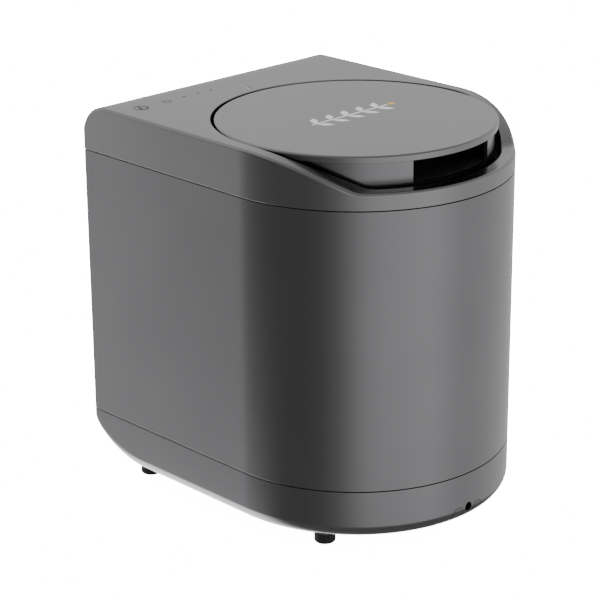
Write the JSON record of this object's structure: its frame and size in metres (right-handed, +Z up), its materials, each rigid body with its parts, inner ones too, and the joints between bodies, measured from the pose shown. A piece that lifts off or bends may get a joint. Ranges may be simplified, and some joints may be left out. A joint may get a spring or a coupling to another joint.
{
  "type": "kitchen food waste disposer",
  "caption": "Countertop food waste disposer with a round twist-lock lid, lift-out stirred bucket, gear drive, fan and slide-out filter.",
  "frame": {"origin": "on the floor under the middle of the body", "axes": "+Z up, front (round nose) faces -Y, flat back faces +Y, +X to the right seen from behind"},
  "size_m": [0.24, 0.297, 0.305],
  "materials": {
    "shell": "metallic grey paint over moulded plastic, soft gloss",
    "panel": "metallic grey paint, satin",
    "black_plastic": "moulded black plastic, fine grain",
    "dark_plastic": "moulded dark plastic",
    "rubber": "moulded rubber",
    "silicone": "grey silicone",
    "foot_grey": "grey plastic",
    "screw_steel": "zinc plated",
    "steel": "brushed",
    "sheet_steel": "galvanised sheet",
    "cast_alu": "as cast",
    "coated_alu": "dark non-stick coating on cast aluminium",
    "bronze": "sintered bronze",
    "brass": "plated contact",
    "board": "green solder mask",
    "copper": "wound copper and steel laminations",
    "nylon": "natural nylon",
    "felt": "pressed ceramic felt",
    "light": "clear light guide, dark when off",
    "filter": "moulded dark plastic cassette with carbon fill",
    "magnet": "nickel plated",
    "ferrite": "sintered ferrite"
  },
  "bodies": {
    "cabinet": {"base_shell": "shell", "bottom_plate": "shell", "mid_shell": "shell", "top_cover": "panel", "well_collar": "black_plastic", "collar_screws": "screw_steel", "cover_screws": "screw_steel", "base_screws": "screw_steel", "service_screw": "screw_steel", "foot_rear_left": "rubber", "foot_rear_right": "rubber", "foot_front_left": "rubber", "foot_front_right": "rubber", "foot_collars": "foot_grey", "foot_screws": "screw_steel", "touch_board": "board", "light_pipes": "light", "reed_switch": "black_plastic", "ac_inlet": "black_plastic", "inlet_pins": "brass", "power_board": "board", "transformer": "copper", "board_parts": "dark_plastic", "board_screws": "screw_steel", "chassis_plate": "sheet_steel", "gearbox_case": "dark_plastic", "gearbox_cover": "dark_plastic", "gearbox_screws": "screw_steel", "output_bearing": "bronze", "idler_pin": "steel", "motor_can": "sheet_steel", "motor_magnets": "ferrite", "heat_pot": "cast_alu", "heater_plate": "cast_alu", "thermostat": "nylon", "heat_wrap": "felt", "pot_legs": "steel", "shaft_seal": "rubber", "air_duct": "dark_plastic", "fan_housing": "dark_plastic", "filter_bay": "dark_plastic"},
    "lid_inner": {"lid_plate": "dark_plastic", "lid_gasket": "silicone"},
    "lid_outer": {"lid_disc": "panel", "lid_skirt": "shell", "finger_cup": "black_plastic", "lid_pivot": "steel", "lid_magnet": "magnet"},
    "bucket_body": {"bucket": "coated_alu", "bucket_bush": "bronze"},
    "bail": {"bucket_bail": "steel"},
    "stirrer": {"stirrer_hub": "cast_alu", "stirrer_arms": "steel"},
    "output": {"output_gear": "nylon", "output_shaft": "steel"},
    "gear_pair": {"pair_gear": "nylon"},
    "motor_spindle": {"motor_rotor": "copper", "motor_pinion": "steel"},
    "fan_wheel": {"fan_impeller": "black_plastic"},
    "filter": {"filter_cassette": "filter"}
  },
  "joints": [
    {"name": "lid_lift", "type": "slide", "parent": "cabinet", "child": "lid_inner", "axis": [0, 0, 1], "range_m": [0, 0.3]},
    {"name": "lid_twist", "type": "hinge", "parent": "lid_inner", "child": "lid_outer", "pos_m": [0, -0.0285, 0.3], "axis": [0, 0, 1], "range_deg": [0, 13]},
    {"name": "bucket_lift", "type": "slide", "parent": "cabinet", "child": "bucket_body", "axis": [0, 0, 1], "range_m": [0, 0.165]},
    {"name": "bail_swing", "type": "hinge", "parent": "bucket_body", "child": "bail", "pos_m": [0, -0.0285, 0.2487], "axis": [1, 0, 0], "range_deg": [0, 90]},
    {"name": "stirrer_spin", "type": "hinge", "parent": "bucket_body", "child": "stirrer", "pos_m": [0, -0.0285, 0.1], "axis": [0, 0, 1], "continuous": true},
    {"name": "output_spin", "type": "hinge", "parent": "cabinet", "child": "output", "pos_m": [0, -0.0285, 0.07], "axis": [0, 0, 1], "continuous": true},
    {"name": "gear_pair_spin", "type": "hinge", "parent": "cabinet", "child": "gear_pair", "pos_m": [0, 0.0216, 0.07], "axis": [0, 0, 1], "continuous": true},
    {"name": "motor_spin", "type": "hinge", "parent": "cabinet", "child": "motor_spindle", "pos_m": [0, 0.0567, 0.07], "axis": [0, 0, 1], "continuous": true},
    {"name": "fan_spin", "type": "hinge", "parent": "cabinet", "child": "fan_wheel", "pos_m": [0, 0.12, 0.243], "axis": [0, 1, 0], "continuous": true},
    {"name": "filter_slide", "type": "slide", "parent": "cabinet", "child": "filter", "axis": [0, 1, 0], "range_m": [0, 0.09]}
  ],
  "couplings": [
    {"joint": "bucket_lift", "follows": "lid_lift", "ratio": 0.55},
    {"joint": "bail_swing", "follows": "lid_lift", "rad_per_m": 5.2357},
    {"joint": "stirrer_spin", "follows": "output_spin", "ratio": 1},
    {"joint": "gear_pair_spin", "follows": "output_spin", "ratio": -4},
    {"joint": "motor_spin", "follows": "output_spin", "ratio": 12}
  ]
}
